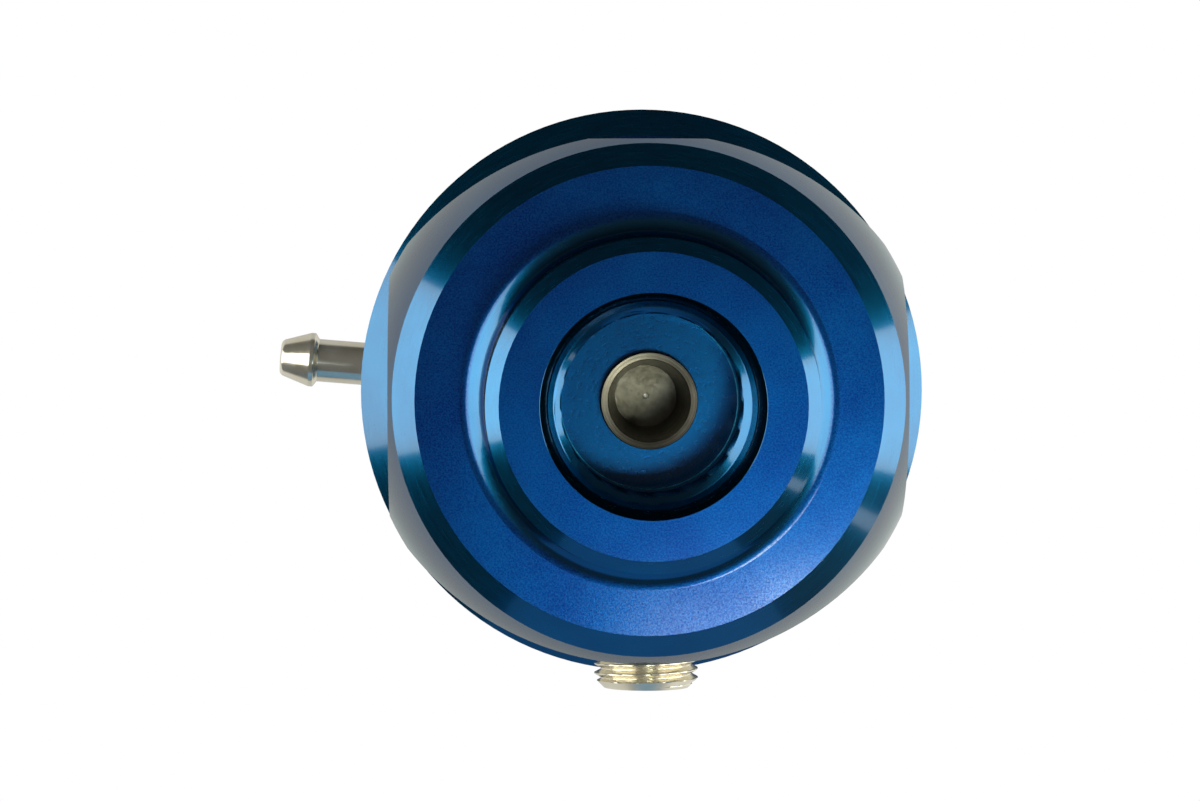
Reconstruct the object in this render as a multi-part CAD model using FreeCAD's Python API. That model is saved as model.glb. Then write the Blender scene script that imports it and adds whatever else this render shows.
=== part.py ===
import FreeCAD, Part
import math
import os
from FreeCAD import Placement, Rotation, Vector

# Fuel pressure regulator with two inlets on its sides, a return port underneath,
# a gauge port at the front and an adjusting screw on top.
# Millimetres. z = 0 is the face of the return-port boss, +Z points up to the
# adjusting screw, and the axis of the regulator is the Z axis.

# Fits and gaps
thread_gap = 0.05           # radial gap between a screw thread and its hole
slip_gap = 0.10             # radial gap of pieces that drop into a recess
seal_gap = 0.03             # gap round a seal in its groove
rest_gap = 0.02             # gap under a face that rests on a piece of another body
drill_point = math.radians(59)   # half angle of a drill's point
hex_turned = math.radians(30)    # slope of the turned corners of a hexagon
hex_rim = 0.1               # the turned face of a hexagon lies this far inside its flats
past = 1.0                  # how far a cutter runs on past the face that it opens

# O-ring boss port for 3/4-16 fittings: the return port and both inlets
port_thread_r = 9.525
port_thread_depth = 11.5    # from the face to the end of the full thread
port_tap_r = 8.7            # tap drill, the hole beyond the thread
port_seal_step = 0.475      # the seal cone's small end is this much wider than the thread
port_seal_depth = 3.0
port_mouth_flare = 0.85     # the seal cone widens by this much up to the face

# Return-port boss and the turned underside of the body
boss_land = 2.55            # flat ring round the mouth of the port
boss_chamfer = 1.3
boss_height = 13.2
boss_fillet = 2.5
face_width = 4.4            # flat annular face round the boss
ring_chamfer = 2.25         # 45 degree chamfer round that face
flare_out = 3.1             # the side wall widens by this much above the chamfer
flare_height = 10.5
flare_bulge = 0.35          # how far the flare bulges out of a straight cone
port_floor_z = 15.8         # floor of the return port
floor_thickness = 2.7       # between return port and fuel chamber

# Milled sides of the body
inlet_flat_step = 0.45      # the inlet flats stand this far outside the chamfer ring
side_bow = 26.15            # half depth of the bowed front and back walls
side_bow_r = 31.35
inlet_z = 27.5
block_top_z = 35.15         # the groove under the flange starts here
bracket_pad_cut = 0.55      # depth of the flat pad in the bowed back wall
bracket_hole_r = 2.5        # M5
bracket_hole_depth = 8.0
bracket_hole_spacing = 10.0
bracket_below_inlets = 1.0
gauge_z = 25.5              # lower than the inlets, clear of the flange
gauge_spot_cut = 0.3        # depth of the spot face round the gauge port
gauge_spot_r = 6.0

# Fuel chamber
chamber_r = 13.5
chamber_chamfer = 1.0
diaphragm_free_r = 18.0     # the diaphragm flexes inside this radius
free_space_depth = 4.0      # of the wide space under the diaphragm

# Body flange
flange_cone = 3.5           # height and width of the cone under the flange
flange_edge = 4.5           # height of the flange's straight edge
edge_break = 0.4

# Valve seat insert, screwed into the chamber floor from above
seat_shank_r = 4.76
seat_nose = 1.4             # the insert stands this far into the return port
seat_bore_r = 3.07          # at the valve
seat_bore_mouth_r = 4.0     # at the return port
seat_lip = 0.45
seat_lip_chamfer = 0.08
seat_dish = 0.11            # the nose's end slopes in by this much towards the bore
seat_height = 8.5           # from the chamber floor up to the valve
seat_collar_r = 7.2
seat_collar_height = 2.6
seat_land = 0.8             # width of the ring that the valve closes on
seat_oring_wire_r = 0.6

# Valve
disc_face_r = 4.3
disc_shoulder = 0.9         # width of the shoulder that the carrier holds
disc_face_height = 1.2
disc_height = 2.7
disc_pip_r = 0.35
disc_pip_height = 0.06      # the turning tool's centre mark
ball_r = 2.38
ball_sink = 1.1             # how deep the ball sits in the disc
ball_gap = 0.04
carrier_wall = 1.7
carrier_lip = 0.6           # thickness of the lip under the disc's shoulder
carrier_lip_play = 0.2
carrier_play = 0.12         # between disc and carrier, round the disc and over it
carrier_skirt_height = 7.0
carrier_neck_r = 5.0
carrier_plate_r = 12.0
carrier_plate_height = 2.4
stem_r = 4.0                # M8
stem_beyond_nut = 0.9

# Diaphragm
diaphragm_thickness = 1.0
diaphragm_clamp = 3.4       # width of the clamped rim
roll_height = 1.9           # height of the convolution
roll_gap = 0.5              # flat between the convolution and what holds the diaphragm

# Spring pack
washer_thickness = 1.6
cup_base = 1.4
cup_rim = 2.5
cup_wall = 0.9
spring_r = 12.0
spring_wire_r = 1.5
spring_length = 22.0
spring_turns = 5.0
spring_end_turn = 0.35
nut_thickness = 4.0         # thin M8 nut on the carrier
nut_flats = 13.0
top_seat_thickness = 2.5
top_seat_hub = 3.0
screw_up = 2.0              # how far the adjusting screw can still back off

# Adjusting screw, lock nut and sealing washer
screw_r = 5.0               # M10 x 1
screw_tip_r = 3.6
screw_tip = 1.6
screw_dimple = 0.6          # depth of the dimple that the tip turns in
screw_stand_out = 9.5       # beyond the lock nut
screw_socket_flats = 5.0
screw_socket_depth = 6.0
screw_end_chamfer = 0.8
lock_nut_flats = 17.0
lock_nut_thickness = 5.0
seal_washer_wall = 3.4
seal_washer_thickness = 1.5

# Cap
cap_flange = 4.0
cap_edge_chamfer = 0.8
spring_room = 2.0           # between spring and wall of the cap
tower_wall = 5.5
tower_fillet = 1.0
cap_head_room = 0.5         # above the top seat in its highest place
cap_boss_r = 10.0
cap_boss_height = 2.2
cap_roof = 8.0              # from the spring space up to the top of the boss
cap_shoulder_drop = 6.0     # height of the sloping shoulder
cap_shoulder_round = 1.6
room_chamfer = 0.5          # the space over the diaphragm ends this far under the flange's top
room_slope = 2.0            # height of the slope from that space to the spring space
cap_bore_chamfer = 0.5

# Cap screws, M4
cap_screw_count = 6
cap_screw_first = 34.4      # degrees from +X
cap_screw_r = 2.0
cap_screw_hole_gap = 0.2
cap_screw_head_r = 3.5
cap_screw_head = 4.0
cap_screw_engage = 5.0      # thread in the body
cap_screw_tap_extra = 0.6
cap_screw_socket_flats = 3.0
cap_screw_socket_depth = 2.0
head_to_tower = 1.6
screw_to_diaphragm = 1.2    # wall between the screw holes and the diaphragm's rim
head_to_edge = 0.8

# Hose barb, screwed radially into the cap
barb_azimuth = 4.6          # degrees from +X
barb_above_flange = 5.0
barb_thread_r = 3.0         # M6
barb_hex_flats = 8.0
barb_hex_height = 4.0
barb_spot_r = 4.8
barb_spot_cut = 0.7
barb_stem_r = 2.24
barb_stem_length = 11.6
barb_ridge_r = 2.83
barb_ridge_back = 0.85      # length of the ridge's back slope
barb_ridge_edge = 0.35
barb_ridge_round = 0.22
barb_nose = 3.1             # length of the ridge's front slope
barb_tip_r = 1.62
barb_bore_r = 1.1
barb_tip_edge = 0.25
barb_oring_wire_r = 0.6

# Gauge port plug, 1/8-27 taper pipe thread
npt_r = 5.14                # thread's outer radius at the spot face
npt_slope = 1.0 / 32.0      # radius lost for each millimetre of depth
plug_stand_out = 3.2
plug_depth = 6.5
plug_end_chamfer = 1.0
plug_socket_flats = 4.76
plug_socket_depth = 5.0
gauge_drill_r = 4.2
gauge_tap_extra = 1.0       # taper thread beyond the plug

# Places that follow from the values above
port_seal_r = port_thread_r + port_seal_step
port_mouth_r = port_seal_r + port_mouth_flare
boss_face_r = port_mouth_r + boss_chamfer + boss_land
boss_r = boss_face_r + boss_chamfer
face_r = boss_r + boss_fillet + face_width
ring_r = face_r + ring_chamfer
ring_z = boss_height + ring_chamfer
block_r = ring_r + flare_out
block_z = ring_z + flare_height
inlet_flat_x = ring_r + inlet_flat_step
bracket_pad_y = side_bow - bracket_pad_cut
bracket_z = inlet_z - bracket_below_inlets
gauge_face_y = side_bow - gauge_spot_cut
chamber_floor_z = port_floor_z + floor_thickness
seat_top_z = chamber_floor_z + seat_height

spring_bore_r = spring_r + spring_room
tower_r = spring_bore_r + tower_wall
diaphragm_r = diaphragm_free_r + diaphragm_clamp
cap_screw_pcd_r = max(tower_r + head_to_tower + cap_screw_head_r,
                      diaphragm_r + screw_to_diaphragm + cap_screw_r)
flange_r = cap_screw_pcd_r + cap_screw_head_r + head_to_edge
neck_r = flange_r - flange_cone
neck_z = block_top_z + block_r - neck_r
flange_cone_z = neck_z + flange_cone
parting_z = flange_cone_z + flange_edge
diaphragm_z = parting_z - diaphragm_thickness

cup_z = parting_z + washer_thickness
spring_z = cup_z + cup_base
spring_top_z = spring_z + spring_length
cavity_top_z = spring_top_z + top_seat_thickness + screw_up + cap_head_room
cap_top_z = cavity_top_z + cap_roof
cap_flange_z = parting_z + cap_flange
barb_z = cap_flange_z + barb_above_flange
barb_spot_x = tower_r - barb_spot_cut
screw_tip_z = spring_top_z + top_seat_thickness - screw_dimple + rest_gap
washer_z = cap_top_z + rest_gap
lock_nut_z = washer_z + seal_washer_thickness + rest_gap
screw_top_z = lock_nut_z + lock_nut_thickness + screw_stand_out

UP = Vector(0, 0, 1)


class Outline:
    """Half section in the plane of radius and height, which turned() spins about Z."""

    def __init__(self, radius, height):
        self.start = Vector(radius, 0, height)
        self.here = self.start
        self.edges = []

    def to(self, radius, height):
        there = Vector(radius, 0, height)
        self.edges.append(Part.LineSegment(self.here, there).toShape())
        self.here = there
        return self

    def arc(self, through, end):
        middle = Vector(through[0], 0, through[1])
        there = Vector(end[0], 0, end[1])
        self.edges.append(Part.Arc(self.here, middle, there).toShape())
        self.here = there
        return self

    def turned(self):
        if (self.here - self.start).Length > 1e-9:
            self.to(self.start.x, self.start.z)
        face = Part.Face(Part.Wire(self.edges))
        return face.revolve(Vector(0, 0, 0), UP, 360)


def cylinder(radius, bottom, top):
    return Part.makeCylinder(radius, top - bottom, Vector(0, 0, bottom))


def cone(bottom_r, top_r, bottom, top):
    return Part.makeCone(bottom_r, top_r, top - bottom, Vector(0, 0, bottom))


def hexagon(flats, bottom, top):
    """Six-sided prism about Z, with two of its flats facing +Y and -Y."""
    corner = flats / math.sqrt(3)
    ring = [Vector(corner * math.cos(math.radians(60 * k)), corner * math.sin(math.radians(60 * k)), bottom)
            for k in range(7)]
    return Part.Face(Part.makePolygon(ring)).extrude(Vector(0, 0, top - bottom))


def hex_socket(flats, face, depth):
    """Cutter of a hexagon socket that goes down from a face, with a drilled point."""
    point = flats / 2 / math.tan(drill_point)
    return hexagon(flats, face - depth, face + past).fuse(cone(0, flats / 2, face - depth - point, face - depth))


def chamfered_hexagon(flats, bottom, top, both):
    """Hexagon whose corners are turned off at the top, or at both ends."""
    corner = flats / math.sqrt(3)
    rim = flats / 2 - hex_rim
    outside = corner + past
    drop = (outside - rim) * math.tan(hex_turned)
    spin = Outline(0, bottom)
    if both:
        spin.to(rim, bottom).to(outside, bottom + drop)
    else:
        spin.to(outside, bottom)
    spin.to(outside, top - drop).to(rim, top).to(0, top)
    return hexagon(flats, bottom, top).common(spin.turned())


def aimed(shape, place, direction):
    """The shape, made about +Z at the origin, turned to a direction and moved to a place."""
    shape = shape.copy()
    shape.Placement = Placement(place, Rotation(UP, direction)).multiply(shape.Placement)
    return shape


def ring_copies(shape, count, first):
    """Copies of a shape about the Z axis, the first one turned by the given degrees."""
    copies = []
    for k in range(count):
        one = shape.copy()
        one.rotate(Vector(0, 0, 0), UP, first + k * 360.0 / count)
        copies.append(one)
    return copies


def oring(ring_r, wire_r, height):
    return Part.makeTorus(ring_r, wire_r, Vector(0, 0, height), UP)


def boss_port(beyond):
    """Cutter of an O-ring boss port whose mouth lies at z = 0 and faces +Z."""
    end = port_thread_depth + beyond
    step = port_seal_depth + port_seal_step
    port = Outline(0, past).to(port_mouth_r, past).to(port_mouth_r, 0).to(port_seal_r, -port_seal_depth)
    port.to(port_thread_r, -step).to(port_thread_r, -port_thread_depth)
    port.to(port_tap_r, -port_thread_depth).to(port_tap_r, -end).to(0, -end)
    return port.turned()


def body_blank():
    """Turned outside of the body, from the boss face up to the parting plane."""
    fillet = boss_fillet
    low = boss_height - fillet
    turn = math.radians(45)
    blank = Outline(0, 0).to(boss_face_r, 0).to(boss_r, boss_chamfer).to(boss_r, low)
    blank.arc((boss_r + fillet * (1 - math.cos(turn)), low + fillet * math.sin(turn)),
              (boss_r + fillet, boss_height))
    blank.to(face_r, boss_height).to(ring_r, ring_z)
    blank.arc(((ring_r + block_r) / 2 + flare_bulge, (ring_z + block_z) / 2), (block_r, block_z))
    blank.to(block_r, block_top_z).to(neck_r, neck_z).to(flange_r, flange_cone_z)
    blank.to(flange_r, parting_z - edge_break).to(flange_r - edge_break, parting_z).to(0, parting_z)
    return blank.turned()


def side_walls():
    """Plan of the body below its flange: two flats for the inlets, two bowed walls."""
    x = inlet_flat_x
    centre = side_bow - side_bow_r
    y = centre + math.sqrt(side_bow_r ** 2 - x ** 2)
    front = Part.Arc(Vector(-x, -y, 0), Vector(0, -side_bow, 0), Vector(x, -y, 0)).toShape()
    right = Part.LineSegment(Vector(x, -y, 0), Vector(x, y, 0)).toShape()
    back = Part.Arc(Vector(x, y, 0), Vector(0, side_bow, 0), Vector(-x, y, 0)).toShape()
    left = Part.LineSegment(Vector(-x, y, 0), Vector(-x, -y, 0)).toShape()
    plan = Part.Face(Part.Wire([front, right, back, left]))
    return plan.extrude(Vector(0, 0, neck_z))


def body_inside():
    """Fuel chamber, the space under the diaphragm and the recess for its rim."""
    free_z = diaphragm_z - free_space_depth
    pocket_r = seat_shank_r + 2 * seat_oring_wire_r + 2 * seal_gap
    pocket_z = chamber_floor_z - 2 * seat_oring_wire_r - seal_gap
    room = Outline(0, port_floor_z - past).to(seat_shank_r + thread_gap, port_floor_z - past)
    room.to(seat_shank_r + thread_gap, pocket_z).to(pocket_r, pocket_z).to(pocket_r, chamber_floor_z)
    room.to(chamber_r, chamber_floor_z).to(chamber_r, free_z - chamber_chamfer)
    room.to(chamber_r + chamber_chamfer, free_z)
    room.to(diaphragm_free_r, free_z).to(diaphragm_free_r, diaphragm_z)
    room.to(diaphragm_r + slip_gap, diaphragm_z).to(diaphragm_r + slip_gap, parting_z + past)
    return room.to(0, parting_z + past).turned()


def gauge_port():
    """Cutter of the taper-thread port and its spot face, mouth at z = 0 facing +Z."""
    wide = npt_r + thread_gap
    deep = plug_depth + gauge_tap_extra
    reach = gauge_face_y - chamber_r + past
    port = Outline(0, past).to(gauge_spot_r, past).to(gauge_spot_r, 0).to(wide, 0)
    port.to(wide - npt_slope * deep, -deep).to(gauge_drill_r, -deep)
    return port.to(gauge_drill_r, -reach).to(0, -reach).turned()


def blind_hole(radius, depth):
    """Cutter of a tapped hole whose mouth lies at z = 0 and faces +Z, with a drilled point."""
    point = radius / math.tan(drill_point)
    return Outline(0, past).to(radius, past).to(radius, -depth).to(0, -depth - point).turned()


def body():
    blank = body_blank()
    lower = blank.common(side_walls())
    shape = lower.fuse(blank.cut(cylinder(flange_r + past, -past, neck_z))).removeSplitter()
    pad_size = 2 * flange_r
    pad = Part.makeBox(pad_size, pad_size, block_top_z - boss_height,
                       Vector(-pad_size / 2, bracket_pad_y, boss_height))
    shape = shape.cut(pad)
    inlet_beyond = inlet_flat_x - chamber_r - port_thread_depth + past
    return_beyond = port_floor_z - port_thread_depth
    cutters = [
        body_inside(),
        aimed(boss_port(return_beyond), Vector(0, 0, 0), Vector(0, 0, -1)),
        aimed(boss_port(inlet_beyond), Vector(inlet_flat_x, 0, inlet_z), Vector(1, 0, 0)),
        aimed(boss_port(inlet_beyond), Vector(-inlet_flat_x, 0, inlet_z), Vector(-1, 0, 0)),
        aimed(gauge_port(), Vector(0, -gauge_face_y, gauge_z), Vector(0, -1, 0)),
    ]
    for side in (-1, 1):
        place = Vector(0, bracket_pad_y, bracket_z + side * bracket_hole_spacing / 2)
        cutters.append(aimed(blind_hole(bracket_hole_r, bracket_hole_depth), place, Vector(0, 1, 0)))
    tap = blind_hole(cap_screw_r, cap_screw_engage + cap_screw_tap_extra)
    tap.translate(Vector(cap_screw_pcd_r, 0, parting_z))
    cutters += ring_copies(tap, cap_screw_count, cap_screw_first)
    return shape.cut(cutters)


def valve_seat():
    """Steel insert: nose in the return port, collar on the chamber floor, lip under the valve."""
    nose_z = port_floor_z - seat_nose
    collar_z = chamber_floor_z + seat_collar_height
    land_r = seat_bore_r + seat_land
    slope = seat_shank_r - land_r
    inner_r = seat_bore_mouth_r
    step_z = nose_z + seat_lip
    solid = Outline(inner_r + seat_lip_chamfer, nose_z + seat_dish).to(seat_shank_r - seat_lip_chamfer, nose_z)
    solid.to(seat_shank_r, nose_z + seat_lip_chamfer).to(seat_shank_r, chamber_floor_z)
    solid.to(seat_collar_r, chamber_floor_z).to(seat_collar_r, collar_z).to(seat_shank_r, collar_z)
    solid.to(seat_shank_r, seat_top_z - slope).to(land_r, seat_top_z).to(seat_bore_r, seat_top_z)
    solid.to(inner_r, step_z)
    return solid.turned()


def seat_oring():
    centre_r = seat_shank_r + seal_gap + seat_oring_wire_r
    return oring(centre_r, seat_oring_wire_r, chamber_floor_z - seat_oring_wire_r - seal_gap / 2)


def valve_ball():
    return Part.makeSphere(ball_r, Vector(0, 0, ball_centre_z()))


def ball_centre_z():
    return seat_top_z + rest_gap + disc_height - ball_sink + ball_r + ball_gap


def ball_socket():
    return Part.makeSphere(ball_r + ball_gap, Vector(0, 0, ball_centre_z()))


def valve_disc():
    face_z = seat_top_z + rest_gap
    shoulder_r = disc_face_r + disc_shoulder
    solid = Outline(0, face_z + disc_pip_height).to(disc_pip_r, face_z).to(disc_face_r, face_z)
    solid.to(disc_face_r, face_z + disc_face_height).to(shoulder_r, face_z + disc_face_height)
    solid.to(shoulder_r, face_z + disc_height).to(0, face_z + disc_height)
    return solid.turned().cut(ball_socket())


def valve_carrier():
    """Skirt round the disc, neck, plate under the diaphragm and threaded stem through it."""
    face_z = seat_top_z + rest_gap
    lip_top = face_z + disc_face_height - carrier_lip_play
    lip_z = lip_top - carrier_lip
    lip_r = disc_face_r + carrier_play
    inner_r = disc_face_r + disc_shoulder + carrier_play
    roof_z = face_z + disc_height + carrier_play
    skirt_r = inner_r + carrier_wall
    skirt_top = lip_z + carrier_skirt_height
    plate_z = diaphragm_z - carrier_plate_height
    stem_top = spring_z + nut_thickness + stem_beyond_nut
    solid = Outline(lip_r, lip_z).to(skirt_r, lip_z).to(skirt_r, skirt_top)
    solid.to(carrier_neck_r, skirt_top + skirt_r - carrier_neck_r).to(carrier_neck_r, plate_z)
    solid.to(carrier_plate_r, plate_z).to(carrier_plate_r, diaphragm_z).to(stem_r, diaphragm_z)
    solid.to(stem_r, stem_top - edge_break).to(stem_r - edge_break, stem_top).to(0, stem_top)
    solid.to(0, roof_z).to(inner_r, roof_z).to(inner_r, lip_top).to(lip_r, lip_top)
    return solid.turned().cut(ball_socket())


def diaphragm():
    """Flat rubber disc with one rolled convolution between its hub and its clamped rim."""
    bottom = diaphragm_z
    top = parting_z
    hole_r = stem_r + slip_gap
    roll_in = carrier_plate_r + roll_gap
    roll_out = diaphragm_free_r - roll_gap
    middle = (roll_in + roll_out) / 2
    wall = diaphragm_thickness
    solid = Outline(hole_r, bottom).to(roll_in + wall, bottom)
    solid.arc((middle, bottom + roll_height), (roll_out - wall, bottom)).to(diaphragm_r, bottom)
    solid.to(diaphragm_r, top).to(roll_out, top).arc((middle, top + roll_height), (roll_in, top))
    return solid.to(hole_r, top).turned()


def diaphragm_washer():
    hole_r = stem_r + slip_gap
    round_r = edge_break
    solid = Outline(hole_r, parting_z).to(carrier_plate_r - round_r, parting_z)
    solid.to(carrier_plate_r, parting_z + round_r).to(carrier_plate_r, cup_z).to(hole_r, cup_z)
    return solid.turned()


def spring_cup():
    hole_r = stem_r + slip_gap
    inner_r = spring_r + slip_gap
    outer_r = inner_r + cup_wall
    rim_z = spring_z + cup_rim
    solid = Outline(hole_r, cup_z).to(outer_r - edge_break, cup_z).to(outer_r, cup_z + edge_break)
    solid.to(outer_r, rim_z).to(inner_r, rim_z).to(inner_r, spring_z).to(hole_r, spring_z)
    return solid.turned()


def carrier_nut():
    top = spring_z + nut_thickness
    nut = chamfered_hexagon(nut_flats, spring_z, top, False)
    return nut.cut(cylinder(stem_r + thread_gap, spring_z - past, top + past))


def main_spring():
    """Round wire coil with ground ends: a helix trimmed flat at both seats."""
    pitch = spring_length / spring_turns
    tail = spring_end_turn * pitch
    coil_r = spring_r - spring_wire_r
    path = Part.makeHelix(pitch, spring_length + 2 * tail, coil_r)
    path.translate(Vector(0, 0, spring_z - tail))
    start = Vector(coil_r, 0, spring_z - tail)
    slope = Vector(0, 2 * math.pi * coil_r, pitch)
    section = Part.Wire(Part.makeCircle(spring_wire_r, start, slope))
    coil = Part.Wire(path).makePipeShell([section], True, True)
    band = cylinder(spring_r + past, spring_z, spring_top_z)
    return Part.Solid(coil.common(band).Solids[0])


def spring_top_seat():
    """Plate on the spring, with a hub inside the coil and a dimple for the screw's tip."""
    top = spring_top_z + top_seat_thickness
    hub_r = spring_r - 2 * spring_wire_r - 2 * slip_gap
    hub_z = spring_top_z - top_seat_hub
    plate_r = spring_r + cup_wall
    solid = Outline(0, hub_z).to(hub_r - edge_break, hub_z).to(hub_r, hub_z + edge_break)
    solid.to(hub_r, spring_top_z).to(plate_r, spring_top_z).to(plate_r, top - edge_break)
    solid.to(plate_r - edge_break, top).to(screw_tip_r + 2 * slip_gap, top)
    solid.to(screw_tip_r + 2 * slip_gap, top - screw_dimple).to(0, top - screw_dimple)
    return solid.turned()


def adjusting_screw():
    thread_r = screw_r - thread_gap
    neck = thread_r - screw_tip_r
    tip_z = screw_tip_z
    end = screw_end_chamfer
    solid = Outline(0, tip_z).to(screw_tip_r, tip_z).to(screw_tip_r, tip_z + screw_tip)
    solid.to(thread_r, tip_z + screw_tip + neck).to(thread_r, screw_top_z - end)
    solid.to(thread_r - end, screw_top_z).to(0, screw_top_z)
    return solid.turned().cut(hex_socket(screw_socket_flats, screw_top_z, screw_socket_depth))


def lock_nut():
    top = lock_nut_z + lock_nut_thickness
    nut = chamfered_hexagon(lock_nut_flats, lock_nut_z, top, True)
    wide = screw_r + past + cap_bore_chamfer
    bore = Outline(0, lock_nut_z - past).to(wide, lock_nut_z - past)
    bore.to(screw_r, lock_nut_z + cap_bore_chamfer).to(screw_r, top - cap_bore_chamfer)
    bore.to(wide, top + past).to(0, top + past)
    return nut.cut(bore.turned())


def seal_washer():
    bore_r = screw_r + cap_bore_chamfer
    outer_r = bore_r + seal_washer_wall
    top = washer_z + seal_washer_thickness
    return Outline(bore_r, washer_z).to(outer_r, washer_z).to(outer_r, top).to(bore_r, top).turned()


def cap_outside():
    """Flange, tower, sloping shoulder and the boss that carries the screw."""
    low = cap_flange_z + tower_fillet
    turn = math.radians(45)
    bend = tower_fillet * (1 - math.cos(turn))
    boss_z = cap_top_z - cap_boss_height
    shoulder_z = boss_z - cap_shoulder_drop
    slope = math.atan2(cap_shoulder_drop, tower_r - cap_boss_r)
    reach = cap_shoulder_round
    shape = Outline(0, parting_z).to(flange_r - edge_break, parting_z)
    shape.to(flange_r, parting_z + edge_break).to(flange_r, cap_flange_z - cap_edge_chamfer)
    shape.to(flange_r - cap_edge_chamfer, cap_flange_z).to(tower_r + tower_fillet, cap_flange_z)
    shape.arc((tower_r + bend, low - tower_fillet + bend), (tower_r, low))
    shape.to(tower_r, shoulder_z - reach)
    corner_r = tower_r - reach * math.cos(slope)
    corner_z = shoulder_z + reach * math.sin(slope)
    half = slope / 2 + math.pi / 4
    pull = reach * (1 / math.sin(half) - 1) * math.cos(half) ** 2
    shape.arc((tower_r - pull * math.sin(half), shoulder_z - pull * math.cos(half)), (corner_r, corner_z))
    shape.to(cap_boss_r, boss_z).to(cap_boss_r, cap_top_z - edge_break)
    shape.to(cap_boss_r - edge_break, cap_top_z).to(0, cap_top_z)
    return shape.turned()


def cap_inside():
    """Room over the diaphragm, the spring space and the tapped hole for the screw."""
    shoulder_z = cap_flange_z - room_chamfer
    wide = screw_r + cap_bore_chamfer + past
    room = Outline(0, parting_z - past).to(diaphragm_free_r, parting_z - past)
    room.to(diaphragm_free_r, shoulder_z).to(spring_bore_r, shoulder_z + room_slope)
    room.to(spring_bore_r, cavity_top_z).to(screw_r, cavity_top_z)
    room.to(screw_r, cap_top_z - cap_bore_chamfer).to(wide, cap_top_z + past).to(0, cap_top_z + past)
    return room.turned()


def barb_direction():
    angle = math.radians(barb_azimuth)
    return Vector(math.cos(angle), math.sin(angle), 0)


def barb_place(radius):
    return barb_direction() * radius + Vector(0, 0, barb_z)


def barb_port():
    """Cutter of the barb's spot face, seal pocket and tapped hole, spot face at z = 0."""
    pocket_r = barb_thread_r + 2 * barb_oring_wire_r + 2 * seal_gap
    pocket = 2 * barb_oring_wire_r + seal_gap
    deep = tower_wall + past
    port = Outline(0, barb_hex_height).to(barb_spot_r, barb_hex_height).to(barb_spot_r, 0).to(pocket_r, 0).to(pocket_r, -pocket)
    port.to(barb_thread_r + thread_gap, -pocket).to(barb_thread_r + thread_gap, -deep)
    return port.to(0, -deep).turned()


def cap():
    screw_hole = cylinder(cap_screw_r + cap_screw_hole_gap, parting_z - past, cap_flange_z + past)
    screw_hole.translate(Vector(cap_screw_pcd_r, 0, 0))
    cutters = [cap_inside(), aimed(barb_port(), barb_place(barb_spot_x), barb_direction())]
    cutters += ring_copies(screw_hole, cap_screw_count, cap_screw_first)
    return cap_outside().cut(cutters)


def cap_screws():
    """Six socket head screws, as separate solids of one node."""
    head_top = cap_flange_z + cap_screw_head
    end = parting_z - cap_screw_engage
    shank_r = cap_screw_r - thread_gap
    round_r = edge_break
    screw = Outline(0, end).to(shank_r - round_r, end).to(shank_r, end + round_r).to(shank_r, cap_flange_z)
    screw.to(cap_screw_head_r, cap_flange_z).to(cap_screw_head_r, head_top - round_r)
    screw.to(cap_screw_head_r - round_r, head_top).to(0, head_top)
    solid = screw.turned().cut(hex_socket(cap_screw_socket_flats, head_top, cap_screw_socket_depth))
    solid.translate(Vector(cap_screw_pcd_r, 0, 0))
    return Part.makeCompound(ring_copies(solid, cap_screw_count, cap_screw_first))


def hose_barb():
    """Threaded end, hexagon, stem and one ridge, drilled through, made along +Z from its spot face."""
    thread_r = barb_thread_r
    inner_end = -(barb_spot_x - spring_bore_r)
    ridge_z = barb_hex_height + barb_stem_length
    edge_z = ridge_z + barb_ridge_edge
    tip_z = edge_z + barb_nose
    hex_inside = barb_hex_height / 2
    hexagon_part = chamfered_hexagon(barb_hex_flats, 0, barb_hex_height, False)
    turned = Outline(barb_bore_r, inner_end).to(thread_r - edge_break, inner_end)
    turned.to(thread_r, inner_end + edge_break).to(thread_r, hex_inside).to(barb_stem_r, hex_inside)
    turned.to(barb_stem_r, ridge_z - barb_ridge_back).to(barb_ridge_r - barb_ridge_round, ridge_z - barb_ridge_round)
    turned.to(barb_ridge_r, ridge_z).to(barb_ridge_r, edge_z)
    turned.to(barb_ridge_r - barb_ridge_round / 2, edge_z + barb_ridge_round)
    turned.to(barb_tip_r + barb_tip_edge, tip_z - barb_tip_edge).to(barb_tip_r, tip_z).to(barb_bore_r, tip_z)
    drill = cylinder(barb_bore_r, inner_end - past, tip_z + past)
    shape = turned.turned().fuse(hexagon_part.cut(drill)).removeSplitter()
    return aimed(shape, barb_place(barb_spot_x), barb_direction())


def barb_oring():
    centre_r = barb_thread_r + seal_gap + barb_oring_wire_r
    ring = oring(centre_r, barb_oring_wire_r, -barb_oring_wire_r - seal_gap / 2)
    return aimed(ring, barb_place(barb_spot_x), barb_direction())


def gauge_plug():
    """Taper plug with a hexagon socket, made along +Z with the spot face at z = 0."""
    out = plug_stand_out
    chamfer = plug_end_chamfer
    wide = npt_r + npt_slope * out
    end_r = npt_r - npt_slope * plug_depth
    solid = Outline(0, -plug_depth).to(end_r - chamfer, -plug_depth).to(end_r, -plug_depth + chamfer)
    solid.to(wide - npt_slope * chamfer, out - chamfer).to(wide - chamfer, out).to(0, out)
    plug = solid.turned().cut(hex_socket(plug_socket_flats, out, plug_socket_depth))
    return aimed(plug, Vector(0, -gauge_face_y, gauge_z), Vector(0, -1, 0))


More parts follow.
